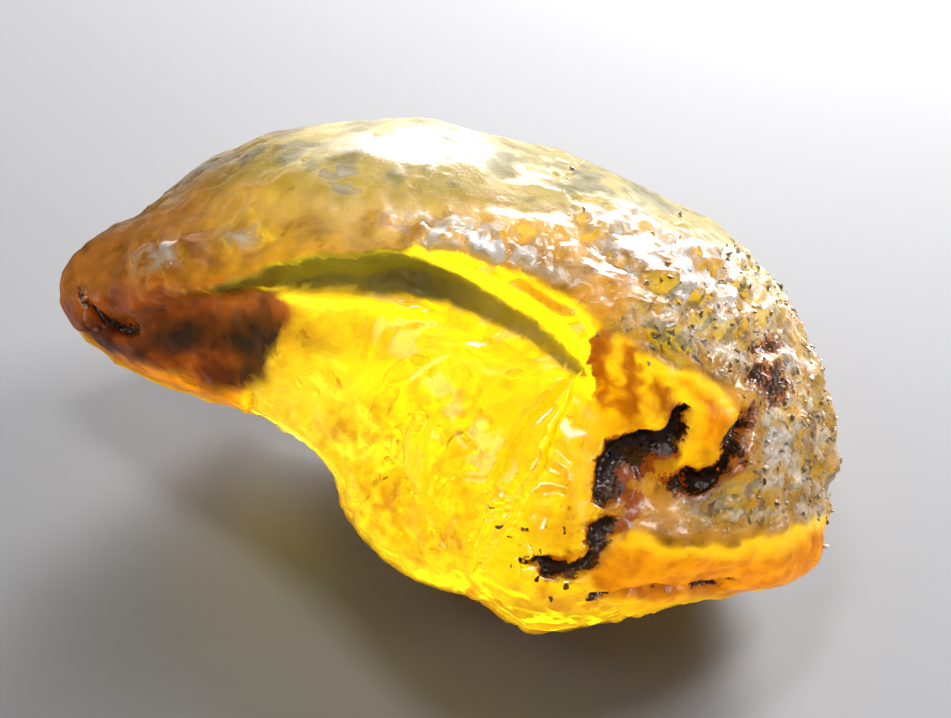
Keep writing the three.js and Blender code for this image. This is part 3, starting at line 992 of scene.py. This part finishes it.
# ---- Studio ----
AIM = Vector((2.08, 0.99, 8.20)) * MM
CAMERA_DISTANCE = 106.6 * MM
CAMERA_HEIGHT_ANGLE = math.radians(45)
LENS = 85
FLOOR_SIZE = 2000 * MM
FLOOR_GAP = 0.02 * MM  # keeps the floor clear of the worn flat, which would fight with it
# Lights, all aimed at the lump: name, which way from it, how far off, sides and watts.
SOFTBOXES = [
    ("back light", (0.24, 0.95, 0.17), 190, (80, 50), 2.4),
    ("side light", (0.66, 0.34, 0.66), 190, (60, 60), 0.42),
    ("low side light", (0.88, -0.32, 0.36), 190, (30, 30), 0.05),
    ("top light", (-0.05, 0.28, 0.95), 190, (60, 30), 0.20),
    ("front fill", (-0.8, -0.3, 0.9), 260, (160, 120), 0.14),
]


def look_at(obj, target):
    obj.rotation_euler = (target - obj.location).to_track_quat("-Z", "Y").to_euler()


def make_camera():
    data = bpy.data.cameras.new("camera")
    data.lens = LENS
    data.clip_start = 5 * MM
    camera = new_object("camera", data)
    away = Vector((0, -math.cos(CAMERA_HEIGHT_ANGLE), math.sin(CAMERA_HEIGHT_ANGLE)))
    camera.location = AIM + CAMERA_DISTANCE * away
    look_at(camera, AIM)
    bpy.context.scene.camera = camera


def softbox(name, toward, distance, size, power):
    data = bpy.data.lights.new(name, "AREA")
    data.shape = "RECTANGLE"
    data.size, data.size_y = (side * MM for side in size)
    data.energy = power
    light = new_object(name, data)
    light.location = AIM + distance * MM * Vector(toward).normalized()
    look_at(light, AIM)


def make_studio():
    mesh = bpy.data.meshes.new("floor")
    half = FLOOR_SIZE / 2
    corners = [(-half, -half), (half, -half), (half, half), (-half, half)]
    mesh.from_pydata([(x, y, -FLOOR_GAP) for x, y in corners], [], [(0, 1, 2, 3)])
    floor = new_object("floor", mesh)
    material, net = new_material("pale floor")
    shader = net.add("ShaderNodeBsdfPrincipled",
                     {"Base Color": colour(0.17, 0.17, 0.175), "Roughness": 0.8,
                      "Specular IOR Level": 0.2})
    net.add("ShaderNodeOutputMaterial", {"Surface": shader})
    mesh.materials.append(material)

    world = bpy.data.worlds.new("studio")
    world.use_nodes = True
    backdrop = world.node_tree.nodes["Background"]
    backdrop.inputs["Color"].default_value = colour(0.86, 0.90, 1.0)
    backdrop.inputs["Strength"].default_value = 0.15
    bpy.context.scene.world = world
    for settings in SOFTBOXES:
        softbox(*settings)
    bpy.context.scene.view_settings.view_transform = "Standard"


# ---- Build ----
def build_lump(mottle):
    lump = fine_lump()
    survey(lump)
    grow(lump, weathering_tree(), rind_step=0.30, lump_size=1.35, lump_height=0.42,
         pit_size=0.55, pit_depth=0.16, scallop_size=5.5, scallop_depth=0.7,
         ripple_spacing=1.15, ripple_height=0.07, seed=7.0, finish=amber_finish(mottle))
    keep_inside_box(lump.data)
    lump.name = "amber_lump"
    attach(lump, "root")
    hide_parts("raw_amber")
    return lump


def drop_fields(mesh, keep=()):
    """Removes the stored fields that no finish reads."""
    spare = [field.name for field in mesh.attributes
             if field.data_type == "FLOAT" and field.name not in keep]
    for name in spare:
        mesh.attributes.remove(mesh.attributes[name])


def strew(name, lump, tree, slot, **values):
    """Grains strewn in or on the lump, as one joined piece."""
    obj = new_object(name, lump.data.copy())
    grow(obj, tree, **values)
    drop_fields(obj.data)
    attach(obj, "root")
    return obj


RAY_START = 20.0  # how far out of the face's middle the rays that look for it start


def face_depths(lump):
    """A function that gives how far out of its plane the broken face is at (u, v)."""
    tree = BVHTree.FromObject(lump, bpy.context.evaluated_depsgraph_get())
    inward = Vector(-FACE_OUT)

    def depth(u, v):
        start = Vector(from_face((u, v, RAY_START))) * MM
        hit = tree.ray_cast(start, inward)
        return None if hit[0] is None else to_face(np.array(hit[0]) / MM)[2]

    return depth


def build_spangles(depth):
    shell = bmesh.new()
    for (u, v), length, width, turn in SPANGLES:
        middle = from_face((u, v, depth(u, v) - width - 0.3)) * MM
        size = np.diag([length, width, 0.06]) * MM
        c, s = math.cos(math.radians(turn)), math.sin(math.radians(turn))
        spin = np.array([[c, s, 0], [-s, c, 0], [0, 0, 1]])
        place = np.eye(4)
        place[:3, :3] = (size @ spin @ FACE_AXES).T
        place[:3, 3] = middle
        bmesh.ops.create_icosphere(shell, subdivisions=3, radius=1.0, matrix=Matrix(place))
    mesh = bpy.data.meshes.new("spangles")
    shell.to_mesh(mesh)
    shell.free()
    mesh.shade_smooth()
    mesh.materials.append(spangle_finish())
    spangles = new_object("spangles", mesh)
    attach(spangles, "root")


def build_sealed_in(lump, mottle):
    tree = scatter_tree()
    bubble = grain_finish("bubble", mottle, colour(1, 1, 1), colour(1, 0.96, 0.8),
                          colour(1, 0.9, 0.6), 1.0, 0.04, transmission=1.0)
    debris = grain_finish("plant debris", mottle, colour(0.20, 0.07, 0.015),
                          colour(0.09, 0.03, 0.01), colour(0.02, 0.01, 0.005), 0.6, 0.5)
    crumbs = grain_finish("lodged soil", mottle, colour(0.07, 0.042, 0.024),
                          colour(0.028, 0.015, 0.008), colour(0.01, 0.006, 0.004), 0.4, 0.45)
    strew("bubbles", lump, tree, "amber", zone="bubble_zone", per_square_millimetre=0.9, seed=3,
          smallest=0.10, largest=0.60, shallowest=0.7, deepest=3.5, finish=bubble)
    strew("brown_clouds", lump, tree, "amber", zone="bubble_zone", per_square_millimetre=0.6,
          seed=11, smallest=0.5, largest=2.0, shallowest=1.4, deepest=4.5, flatness=0.9,
          roughness=0.8, finish=cloud_finish())
    strew("plant_debris", lump, tree, "debris", zone="speck_zone", per_square_millimetre=1.4,
          seed=23, smallest=0.04, largest=0.26, shallowest=0.3, deepest=2.6, flatness=0.8,
          roughness=0.7, finish=debris)
    glints = grain_finish("crust grains", mottle, colour(0.50, 0.45, 0.36),
                          colour(0.30, 0.21, 0.11), colour(0.08, 0.042, 0.015), 0.7, 0.12)
    strew("crust_grains", lump, tree, "amber", zone="grain_zone", per_square_millimetre=5.0,
          seed=41, smallest=0.05, largest=0.32, shallowest=0.0, deepest=0.10, flatness=0.85,
          roughness=0.75, finish=glints)
    strew("soil_crumbs", lump, tree, "debris", zone="crumb_zone", per_square_millimetre=9.0,
          seed=31, smallest=0.05, largest=0.26, shallowest=-0.02, deepest=0.10, flatness=0.3,
          roughness=0.35, finish=crumbs)


make_camera()
make_studio()
mottle = mottle_group()
lump = build_lump(mottle)
build_sealed_in(lump, mottle)
depth = face_depths(lump)
build_spangles(depth)
drop_fields(lump.data, keep=FINISH_FIELDS)
